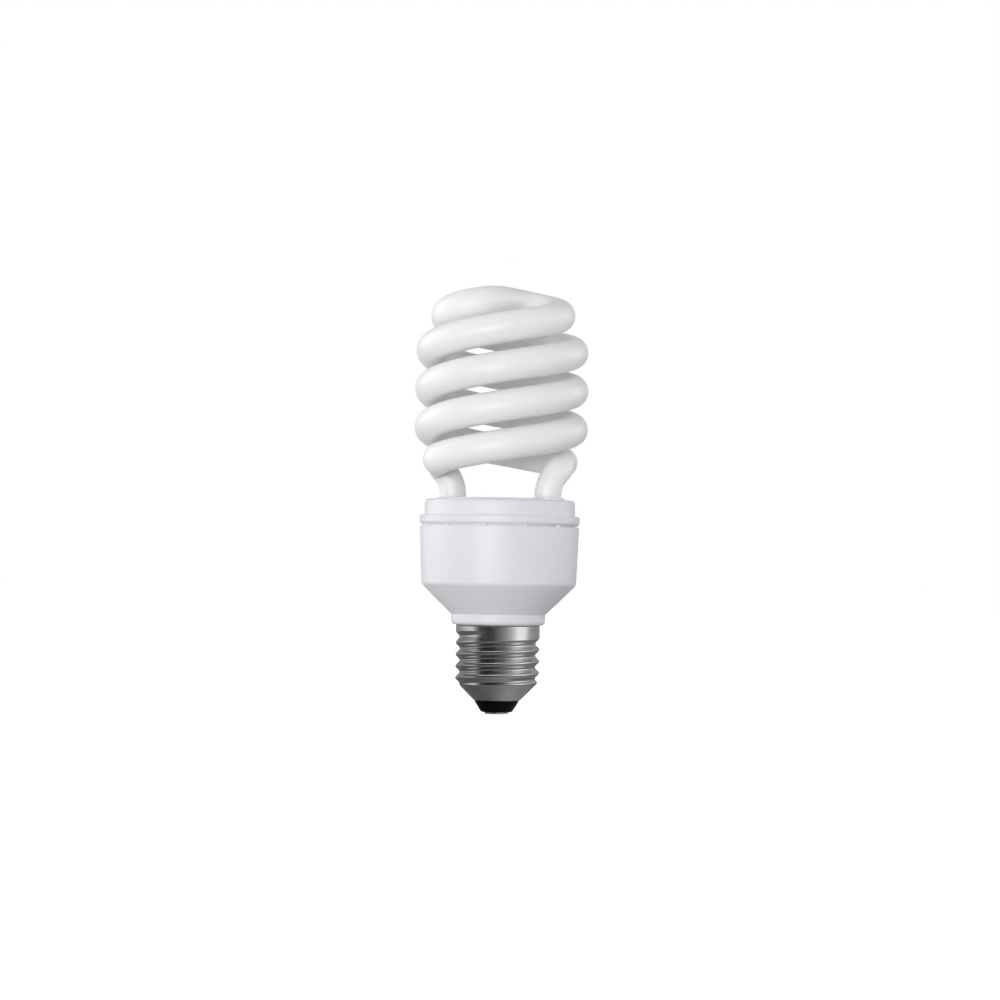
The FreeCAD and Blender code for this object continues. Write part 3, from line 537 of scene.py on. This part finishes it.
holder = {
    "wall": 1.5,
    "skirtRadius": 23.24,
    "skirtDepth": 3.2,
    "seatGap": 0.02,
    "grooveDepth": 1.2,
    "grooveHeight": 1.3,
    "slitHeight": 0.6,         # the open part of the groove, under a sloped land
    "landInset": 0.45,
    "landRound": 0.05,
    "lugCount": 12,
    "lugAngle": -11,
    "lugWidth": 1.1,
    "lugFlank": 0.25,
    "lugLift": 0.9,
    "flangeHeight": 2.2,
    "flangeChamfer": 0.5,
    "flangeRound": 0.3,
    "flangeTopRound": 0.15,
    "stepInset": 1.4,
    "stepHeight": 4.9,
    "stepRound": 1.2,
    "stepFootRound": 0.25,
    "discInset": 4.1,
    "discHeight": 0.45,
    "discSlope": 0.15,
    "discFootRound": 0.1,
    "discRound": 0.25,
    "innerRound": 0.5,
    "rimWidth": 0.9,
    "legGap": 0.1,
    "bossWall": 0.7,
    "bossDepth": 6.0,
    "edgeRound": 0.2,
    "cutMargin": 1.0,
    "columnsPerLug": 16,
    "legSides": 64,
}


def holderAngles():
    # columns stand at the sides of each lug, and evenly between the lugs
    reach = nodeBox("ballast_housing")[1].x
    halfWidth = holder["lugWidth"] / 2 / reach
    flank = holder["lugFlank"] / reach
    sector = 2 * math.pi / holder["lugCount"]
    angles = []
    for index in range(holder["lugCount"]):
        middle = math.radians(holder["lugAngle"]) + sector * index
        for side in (-halfWidth - flank, -halfWidth, halfWidth, halfWidth + flank):
            angles.append(middle + side)
        free = sector - 2 * (halfWidth + flank)
        for step in range(1, holder["columnsPerLug"]):
            angles.append(middle + halfWidth + flank + free * step / holder["columnsPerLug"])
    return angles


def onLug(angle):
    reach = nodeBox("ballast_housing")[1].x
    sector = 2 * math.pi / holder["lugCount"]
    off = (angle - math.radians(holder["lugAngle"]) + sector / 2) % sector - sector / 2
    return abs(off) * reach < holder["lugWidth"] / 2 + holder["lugFlank"] / 2


def tubeHolder():
    rim, rimLevel = nodeBox("ballast_housing")[1].xz
    low, high = nodeBox("tube_holder")
    edge, wall = holder["edgeRound"], holder["wall"]
    grooveFloor = rim - holder["grooveDepth"]
    slitTop = rimLevel + holder["slitHeight"]
    flangeBase = rimLevel + holder["grooveHeight"]
    flangeTop = flangeBase + holder["flangeHeight"]
    flange, chamfer, soft = high.x, holder["flangeChamfer"], holder["flangeRound"]
    step = rim - holder["stepInset"]
    stepTop = flangeTop + holder["stepHeight"]
    disc = step - holder["discInset"]
    discTop = stepTop + holder["discHeight"]
    skirt, skirtBase = holder["skirtRadius"], rimLevel - holder["skirtDepth"]
    seatLevel = rimLevel + holder["seatGap"]
    outline = roundedOutline([
        (step - wall, skirtBase, edge), (skirt, skirtBase, edge), (skirt, seatLevel, 0),
        (grooveFloor, seatLevel, 0), (grooveFloor, slitTop, 0),
        (rim - holder["landInset"], slitTop, holder["landRound"]), (flange, flangeBase, soft),
        (flange, flangeTop - chamfer, soft), (flange - chamfer, flangeTop, holder["flangeTopRound"]),
        (step, flangeTop, holder["stepFootRound"]), (step, stepTop, holder["stepRound"]),
        (disc + holder["discSlope"], stepTop, holder["discFootRound"]),
        (disc, discTop, holder["discRound"]), (0, discTop, 0),
        (0, stepTop - wall, 0), (step - wall, stepTop - wall, holder["innerRound"])])

    grooveRows = [row for row, spot in enumerate(outline) if abs(spot.x - grooveFloor) < 1e-6]

    def lugRadius(row, radius, height, angle):
        lifted = row in grooveRows and onLug(angle)
        return radius + holder["lugLift"] if lifted else radius

    piece = makeObject("tubeHolder", turnedSolid(outline, holderAngles(), radiusAt=lugRadius))

    sides = evenAngles(holder["legSides"])
    plate = stepTop - wall
    bossBase, bossTop = plate - holder["bossDepth"], plate + wall / 2
    hole = spiral["legRadius"] + holder["legGap"]
    rimOuter, bossOuter = hole + holder["rimWidth"], hole + holder["bossWall"]
    boss = roundedOutline([
        (0, bossBase, 0), (bossOuter, bossBase, edge), (bossOuter, bossTop, 0),
        (rimOuter, bossTop, 0), (rimOuter, high.z, edge), (0, high.z, 0)])
    cutLow, cutHigh = low.z - holder["cutMargin"], high.z + holder["cutMargin"]
    cutter = [(0, cutLow), (hole, cutLow), (hole, cutHigh), (0, cutHigh)]
    bosses, holes = [], []
    for index in (1, 2):
        cementLow, cementHigh = nodeBox("leg_cement_%d" % index)
        middle = ((cementLow + cementHigh) / 2).xy
        bosses.append(makeObject("legBoss%d" % index, turnedSolid(boss, sides, middle)))
        holes.append(makeObject("legHole%d" % index, turnedSolid(cutter, sides, middle)))
    combine(piece, bosses, "UNION")
    combine(piece, holes, "DIFFERENCE")
    seat(piece, "white_plastic", plasticFinish, "tube_holder")


tubeHolder()


# Cap: rolled shell, black glass insulator and the soldered foot contact

shell = {
    "sheet": 0.35,
    "threadDepth": 1.25,
    "pitch": 3.629,
    "crestLevel": 5.9,         # a crest's height on the +X side
    "runOutLow": 23.8,         # the groove fades away between these levels, into the band
    "runOutHigh": 25.0,
    "lipRadius": 7.2,
    "coneBlend": 1.0,
    "topRoundDepth": 0.28,
    "topRoundHeight": 0.6,
    "rowSpacing": 0.13,
    "innerSpacing": 0.4,
    "columns": 240,
    "metal": {
        "mottle": {"Light": (0.62, 0.615, 0.61, 1), "Dark": (0.50, 0.495, 0.49, 1), "Patches": 140.0,
                   "Gloss Low": 0.08, "Gloss High": 0.13},
        "relief": {"Lines": 2600.0, "Length": 0.03},
        "bump": 0.02, "depth": 0.0003,
        "sockets": {"Metallic": 1.0},
    },
}


def softMin(first, second, blend):
    mix = max(blend - abs(first - second), 0.0) / blend
    return min(first, second) - mix * mix * blend / 4


def shellRadius(height, angle, crest, lipLevel):
    turns = (height - shell["crestLevel"]) / shell["pitch"] - angle / (2 * math.pi) + 0.5
    groove = math.floor(turns + 0.5)
    middle = shell["crestLevel"] + shell["pitch"] * (groove - 0.5 + angle / (2 * math.pi))
    depth = shell["threadDepth"] * (1 + math.cos(2 * math.pi * (turns - groove))) / 2
    depth *= 1 - smoothStep(shell["runOutLow"], shell["runOutHigh"], middle)
    cone = shell["lipRadius"] + height - lipLevel
    return softMin(crest - depth, cone, shell["coneBlend"])


def screwShell():
    low, high = nodeBox("screw_shell")
    crest, sheet = high.x, shell["sheet"]
    outerRows = round((high.z - low.z) / shell["rowSpacing"])
    innerRows = round((high.z - low.z) / shell["innerSpacing"])
    outerLevels = [low.z + (high.z - low.z) * row / outerRows for row in range(outerRows + 1)]
    innerLevels = [high.z + (low.z - high.z) * row / innerRows for row in range(innerRows + 1)]
    outline = [(crest, level) for level in outerLevels] + [(crest - sheet, level) for level in innerLevels]

    def waveRadius(row, radius, height, angle):
        outer = shellRadius(height, angle, crest, low.z)
        if row > outerRows:
            return outer - sheet
        past = min(max(1 - (high.z - height) / shell["topRoundHeight"], 0.0), 1.0)
        return outer - shell["topRoundDepth"] * (1 - math.sqrt(1 - past * past))

    angles = [angle - math.pi for angle in evenAngles(shell["columns"])]
    piece = makeObject("screwShell", turnedSolid(outline, angles, radiusAt=waveRadius), sharpDegrees=50)
    seat(piece, "plated_sheet", finish("platedSheet", shell["metal"]), "screw_shell")


screwShell()

insulator = {
    "footRadius": 4.8,
    "footRound": 1.1,
    "lipInset": 0.1,
    "lipGap": 0.02,
    "plugRound": 0.3,
    "boreRound": 0.1,
    "fitGap": 0.05,            # round the rivet, and inside the shell
    "columns": 128,
    "blackGlass": {
        "mottle": {"Light": (0.006, 0.006, 0.007, 1), "Dark": (0.003, 0.003, 0.003, 1), "Patches": 120.0,
                   "Gloss Low": 0.22, "Gloss High": 0.34},
        "relief": {"Fineness": 900.0, "Swell": 160.0, "Swell Share": 0.6},
        "bump": 0.10, "depth": 0.0006,
        "sockets": {"IOR": 1.5, "Specular IOR Level": 0.08},
    },
}


def blackInsulator():
    low, high = nodeBox("insulator")
    bore = contact["rivetRadius"] + insulator["fitGap"]
    lipLevel = nodeBox("screw_shell")[0].z - insulator["lipGap"]
    plug = shell["lipRadius"] - shell["sheet"] - insulator["fitGap"]
    plugRound, boreRound = insulator["plugRound"], insulator["boreRound"]
    outline = roundedOutline([
        (bore, low.z, boreRound), (insulator["footRadius"], low.z, insulator["footRound"]),
        (shell["lipRadius"] - insulator["lipInset"], lipLevel, plugRound), (plug, lipLevel, 0),
        (plug, high.z, plugRound), (bore, high.z, boreRound)], arcSteps=8)
    piece = makeObject("blackInsulator", turnedSolid(outline, evenAngles(insulator["columns"])))
    seat(piece, "black_glass", finish("blackGlass", insulator["blackGlass"]), "insulator")


contact = {
    "rivetRadius": 1.6,
    "leadBore": 0.35,
    # share of the radius, lift and rounding
    "crown": [(0.35, 0.0, 0), (0.7, 0.06, 0), (1.0, 0.22, 0.35)],
    "insulatorGap": 0.01,
    # how far the solder strays: millimetres on its face, a share of the radius at its edge
    "solderWave": 0.16,
    "solderGrain": 0.55,
    "solderStart": 0.5,        # beside the rivet
    "solderSkin": 0.05,
    "columns": 96,
    "solder": {
        "mottle": {"Light": (0.86, 0.86, 0.85, 1), "Dark": (0.58, 0.58, 0.58, 1), "Patches": 900.0,
                   "Gloss Low": 0.28, "Gloss High": 0.48},
        "relief": {"Fineness": 2200.0, "Swell": 500.0, "Swell Share": 0.6},
        "bump": 0.3, "depth": 0.0004,
        "sockets": {"Metallic": 1.0},
    },
}


def footContact():
    low, high = nodeBox("centre_contact")
    base = nodeBox("insulator")[0].z
    top = base - contact["insulatorGap"]
    rivet, bore = contact["rivetRadius"], contact["leadBore"]
    crown = [(high.x * share, low.z + lift, soft) for share, lift, soft in contact["crown"]]
    outline = roundedOutline([
        (0, low.z, 0), *crown, (high.x, top, 0), (rivet, top, 0), (rivet, high.z, 0),
        (bore, high.z, 0), (bore, base, 0), (0, base, 0)])
    mesh = turnedSolid(outline, evenAngles(contact["columns"]))
    for vertex in mesh.verts:
        spot = vertex.co / mm
        reach = spot.xy.length
        if reach <= rivet + contact["solderStart"] and spot.z > top - contact["insulatorGap"]:
            continue
        stray = noise.noise(spot * contact["solderGrain"]) * contact["solderWave"]
        if spot.z < base - contact["solderSkin"]:
            vertex.co.z = max(low.z, spot.z + abs(stray)) * mm
        grow = 1 + stray * smoothStep(rivet, high.x, reach)
        vertex.co.x *= grow
        vertex.co.y *= grow
    piece = makeObject("footContact", mesh, sharpDegrees=45)
    seat(piece, "solder", finish("solder", contact["solder"]), "centre_contact")


blackInsulator()
footContact()


# Pieces inside keep their solids and take a finish for each of the record's slots

insideLooks = {
    "board_laminate": {
        "light": (0.52, 0.36, 0.17), "dark": (0.42, 0.28, 0.12),
        "gloss": 0.5, "patches": 300.0},
    "ferrite": {
        "light": (0.055, 0.055, 0.06), "dark": (0.03, 0.03, 0.035),
        "gloss": 0.6, "patches": 900.0},
    "copper_winding": {
        "light": (0.62, 0.25, 0.10), "dark": (0.42, 0.15, 0.06),
        "gloss": 0.3, "patches": 500.0, "lines": 2600.0, "metallic": 1.0},
    "tinned_wire": {
        "light": (0.78, 0.78, 0.77), "dark": (0.62, 0.62, 0.61),
        "gloss": 0.28, "patches": 700.0, "metallic": 1.0},
    "capacitor_sleeve": {
        "light": (0.03, 0.035, 0.05), "dark": (0.018, 0.02, 0.03),
        "gloss": 0.32, "patches": 200.0},
    "film_coat": {
        "light": (0.30, 0.05, 0.02), "dark": (0.22, 0.035, 0.015),
        "gloss": 0.25, "patches": 260.0},
    "black_resin": {
        "light": (0.03, 0.03, 0.03), "dark": (0.018, 0.018, 0.018),
        "gloss": 0.55, "patches": 800.0},
    "blue_glass": {
        "light": (0.02, 0.07, 0.30), "dark": (0.012, 0.045, 0.22),
        "gloss": 0.15, "patches": 300.0},
    "resistor_coat": {
        "light": (0.55, 0.40, 0.24), "dark": (0.47, 0.34, 0.20),
        "gloss": 0.4, "patches": 500.0},
    "bobbin_plastic": {
        "light": (0.62, 0.60, 0.55), "dark": (0.54, 0.52, 0.47),
        "gloss": 0.45, "patches": 260.0},
    "cement": {
        "light": (0.66, 0.64, 0.58), "dark": (0.50, 0.48, 0.43),
        "gloss": 0.85, "patches": 700.0},
}

insideRelief = {
    "grain": {"Fineness": 2400.0, "Swell": 300.0, "Swell Share": 0.3},
    "lineLength": 0.05,
    "bump": 0.15,
    "depth": 0.0004,
    "glossSpread": 0.15,
}


def insideFinish(slot):
    look, spread = insideLooks[slot], insideRelief["glossSpread"]
    relief = insideRelief["grain"]
    if "lines" in look:
        relief = {"Lines": look["lines"], "Length": insideRelief["lineLength"]}
    return finish(slot, {
        "mottle": {"Light": (*look["light"], 1), "Dark": (*look["dark"], 1), "Patches": look["patches"],
                   "Gloss Low": look["gloss"] * (1 - spread), "Gloss High": look["gloss"] * (1 + spread)},
        "relief": relief, "bump": insideRelief["bump"], "depth": insideRelief["depth"],
        "sockets": {"Metallic": look.get("metallic", 0.0)}})


def dressInside():
    finishes = {slot: insideFinish(slot) for slot in insideLooks}
    dressed = 0
    for row in frame["record"]["subparts"]:
        if row["material_slot"] not in finishes:
            continue
        for place in frame["nodes"][row["node"]].material_slots:
            place.material = finishes[row["material_slot"]]
        dressed += 1
    print("dressed", dressed, "inner pieces")


dressInside()


# Studio: pale floor, soft lamps, white surroundings, and a room that only mirrors see

studio = {
    "aim": (0.0, 0.0, 0.0668),
    "cameraPlace": (0.0005, -1.0, 0.0457),
    "cameraRoll": 0.97,
    "lens": 115.57,
    "sensor": 36.0,
    "floorSize": 6.0,
    "floorColor": (0.58, 0.58, 0.58, 1),
    "floorRoughness": 0.9,
    "glowNear": 0.75,           # added to the lit floor where the camera and reflections see it
    "glowFar": 1.0,
    "glowReach": (0.06, 0.30),
    "roomLight": 0.52,          # the white surroundings, as far as they light the lamp
    "roomTint": (0.95, 0.95, 1.0, 1),
    "lights": {
        "keyLight": {
            "place": (-0.42, -1.45, 0.12), "size": (0.7, 0.3),
            "power": 11.9, "color": (1.0, 0.985, 0.955)},
        "softLight": {
            "place": (-0.95, -0.75, 0.12), "size": (0.6, 0.7),
            "power": 0.6, "color": (1.0, 0.985, 0.955)},
        "leftLight": {
            "place": (-0.85, 0.45, 0.2), "size": (0.35, 0.9),
            "power": 4.5, "color": (1.0, 0.99, 0.97)},
        "rightLight": {
            "place": (0.85, 0.45, 0.2), "size": (0.35, 0.9),
            "power": 3.2, "color": (1.0, 0.99, 0.97)},
    },
    "unlit": ("screwShell", "blackInsulator", "footContact"),    # these only mirror the room
    "mirroredColumns": 96,
    # walls by outline in millimetres, and their glow by degrees from the front to the right
    "mirrored": {
        "mirroredFoot": {"outline": [(0, 0.3), (19, 0.3)], "tint": (1.0, 0.97, 1.0), "glow": [
            (-180, 0.20), (-110, 0.16), (-95, 0.14), (-52, 0.14), (-34, 0.16), (-17, 0.20),
            (0, 0.24), (17, 0.29), (34, 0.34), (52, 0.36), (73, 0.32), (95, 0.30),
            (180, 0.20)]},
        "mirroredFloor": {"outline": [(19, 0.3), (120, 0.3)], "tint": (1.0, 0.98, 1.06), "glow": [
            (-180, 0.20), (-104, 0.14), (-81, 0.16), (-60, 0.20), (-43, 0.18), (-18, 0.20),
            (4, 0.22), (26, 0.24), (54, 0.24), (90, 0.26), (124, 0.22), (180, 0.20)]},
        "mirroredSides": {"outline": [(120, 0.3), (1600, 320)], "tint": (1.0, 0.99, 1.03), "glow": [
            (-180, 0.35), (-125, 0.40), (-104, 0.60), (-81, 0.95), (-70, 0.90), (-60, 0.42),
            (-50, 0.12), (-27, 0.07), (-11, 0.10), (5, 0.24), (21, 0.40), (38, 0.75),
            (55, 1.40), (74, 1.35), (96, 0.55), (124, 0.40), (180, 0.35)]},
        "mirroredUpper": {"outline": [(1600, 320), (1400, 950)], "tint": (1.0, 0.99, 1.0), "glow": [
            (-180, 0.30), (-125, 0.30), (-104, 0.35), (-81, 0.50), (-70, 0.45), (-60, 0.20),
            (-50, 0.05), (-27, 0.03), (-11, 0.05), (5, 0.14), (21, 0.30), (38, 0.75),
            (55, 1.50), (74, 1.60), (96, 1.15), (110, 0.90), (124, 0.50), (180, 0.30)]},
        "mirroredTop": {"outline": [(1400, 950), (1100, 1700)], "tint": (1.0, 0.98, 1.06), "glow": [
            (-180, 0.25), (-125, 0.15), (-104, 0.06), (-81, 0.04), (-44, 0.02), (-11, 0.03),
            (5, 0.06), (21, 0.14), (38, 0.28), (55, 0.50), (74, 0.55), (96, 0.40),
            (124, 0.30), (180, 0.25)]},
    },
}


def aimAt(item, target, roll=0.0):
    heading = Vector(target) - item.location
    item.rotation_euler = heading.to_track_quat("-Z", "Y").to_euler()
    if roll:
        item.rotation_euler.rotate_axis("Z", math.radians(roll))


def addCamera():
    data = bpy.data.cameras.new("camera")
    data.lens = studio["lens"]
    data.sensor_width = studio["sensor"]
    camera = bpy.data.objects.new("camera", data)
    bpy.context.scene.collection.objects.link(camera)
    camera.location = studio["cameraPlace"]
    aimAt(camera, studio["aim"], studio["cameraRoll"])
    bpy.context.scene.camera = camera


def addLights():
    for name, look in studio["lights"].items():
        data = bpy.data.lights.new(name, "AREA")
        data.shape = "RECTANGLE"
        data.size, data.size_y = look["size"]
        data.energy = look["power"]
        data.color = look["color"]
        light = bpy.data.objects.new(name, data)
        bpy.context.scene.collection.objects.link(light)
        light.location = look["place"]
        aimAt(light, studio["aim"])
        spared = bpy.data.collections.new(name + "Spares")
        for piece in studio["unlit"]:
            spared.objects.link(bpy.data.objects[piece])
        for row in spared.collection_objects:
            row.light_linking.link_state = "EXCLUDE"
        light.light_linking.receiver_collection = spared


def seenBy(tree, *rays):
    path = tree.nodes.new("ShaderNodeLightPath")
    seen = path.outputs[rays[0]]
    for ray in rays[1:]:
        either = tree.nodes.new("ShaderNodeMath")
        either.operation = "MAXIMUM"
        tree.links.new(seen, either.inputs[0])
        tree.links.new(path.outputs[ray], either.inputs[1])
        seen = either.outputs["Value"]
    return seen


shownRays = ("Is Camera Ray", "Is Glossy Ray", "Is Transmission Ray")


def addRoom():
    world = bpy.data.worlds.new("whiteRoom")
    bpy.context.scene.world = world
    world.use_nodes = True
    tree = world.node_tree
    background = tree.nodes["Background"]
    shown = seenBy(tree, *shownRays)
    tint = tree.nodes.new("ShaderNodeMix")
    tint.data_type = "RGBA"
    tint.inputs[6].default_value = studio["roomTint"]
    tint.inputs[7].default_value = (1, 1, 1, 1)
    tree.links.new(shown, tint.inputs["Factor"])
    tree.links.new(tint.outputs[2], background.inputs["Color"])
    strength = remap(tree, shown, 0.0, 1.0, studio["roomLight"], 1.0)
    tree.links.new(strength, background.inputs["Strength"])


def flatObject(name, corners):
    data = bpy.data.meshes.new(name)
    data.from_pydata(corners, [], [tuple(range(len(corners)))])
    item = bpy.data.objects.new(name, data)
    bpy.context.scene.collection.objects.link(item)
    return item


def addFloor():
    half = studio["floorSize"] / 2
    floor = flatObject("floor", [(-half, -half, 0), (half, -half, 0), (half, half, 0), (-half, half, 0)])
    material, tree, shader = newMaterial("paleFloor")
    floor.data.materials.append(material)
    shader.inputs["Base Color"].default_value = studio["floorColor"]
    shader.inputs["Roughness"].default_value = studio["floorRoughness"]
    shader.inputs["Emission Color"].default_value = (1, 1, 1, 1)
    distance = tree.nodes.new("ShaderNodeVectorMath")
    distance.operation = "LENGTH"
    tree.links.new(tree.nodes.new("ShaderNodeTexCoord").outputs["Object"], distance.inputs[0])
    reach = remap(tree, distance.outputs["Value"], *studio["glowReach"],
                  studio["glowNear"], studio["glowFar"])
    glow = remap(tree, seenBy(tree, *shownRays), 0.0, 1.0, 0.0, reach)
    tree.links.new(glow, shader.inputs["Emission Strength"])
    clear = tree.nodes.new("ShaderNodeBsdfTransparent")       # seen from below, the floor is gone
    sides = tree.nodes.new("ShaderNodeMixShader")
    tree.links.new(tree.nodes.new("ShaderNodeNewGeometry").outputs["Backfacing"], sides.inputs["Fac"])
    tree.links.new(shader.outputs["BSDF"], sides.inputs[1])
    tree.links.new(clear.outputs["BSDF"], sides.inputs[2])
    tree.links.new(sides.outputs["Shader"], tree.nodes["Material Output"].inputs["Surface"])


def glowByAzimuth(name, look):
    material, tree, _ = newMaterial(name)
    place = tree.nodes.new("ShaderNodeSeparateXYZ")
    tree.links.new(tree.nodes.new("ShaderNodeTexCoord").outputs["Object"], place.inputs["Vector"])
    nearness = tree.nodes.new("ShaderNodeMath")
    nearness.operation = "MULTIPLY"
    nearness.inputs[1].default_value = -1.0
    tree.links.new(place.outputs["Y"], nearness.inputs[0])
    azimuth = tree.nodes.new("ShaderNodeMath")
    azimuth.operation = "ARCTAN2"
    tree.links.new(place.outputs["X"], azimuth.inputs[0])
    tree.links.new(nearness.outputs["Value"], azimuth.inputs[1])
    ramp = tree.nodes.new("ShaderNodeValToRGB")
    stops = ramp.color_ramp.elements
    stops.remove(stops[1])
    for index, (degrees, glow) in enumerate(look["glow"]):
        stop = stops.new((degrees + 180) / 360) if index else stops[0]
        stop.color = (*(glow * share for share in look["tint"]), 1)
    tree.links.new(remap(tree, azimuth.outputs["Value"], -math.pi, math.pi), ramp.inputs["Fac"])
    emission = tree.nodes.new("ShaderNodeEmission")
    tree.links.new(ramp.outputs["Color"], emission.inputs["Color"])
    tree.links.new(emission.outputs["Emission"], tree.nodes["Material Output"].inputs["Surface"])
    return material


def addMirroredRoom():
    for name, look in studio["mirrored"].items():
        rings = turnedRings(look["outline"], evenAngles(studio["mirroredColumns"]))
        wall = makeObject(name, ringSolid(rings, closed=False))
        wall.data.materials.append(glowByAzimuth(name, look))
        wall.visible_camera = False
        wall.visible_diffuse = False
        wall.visible_shadow = False
        wall.visible_transmission = False


addCamera()
addLights()
addRoom()
addFloor()
addMirroredRoom()
bpy.context.scene.view_settings.view_transform = "Standard"
print("studio set")
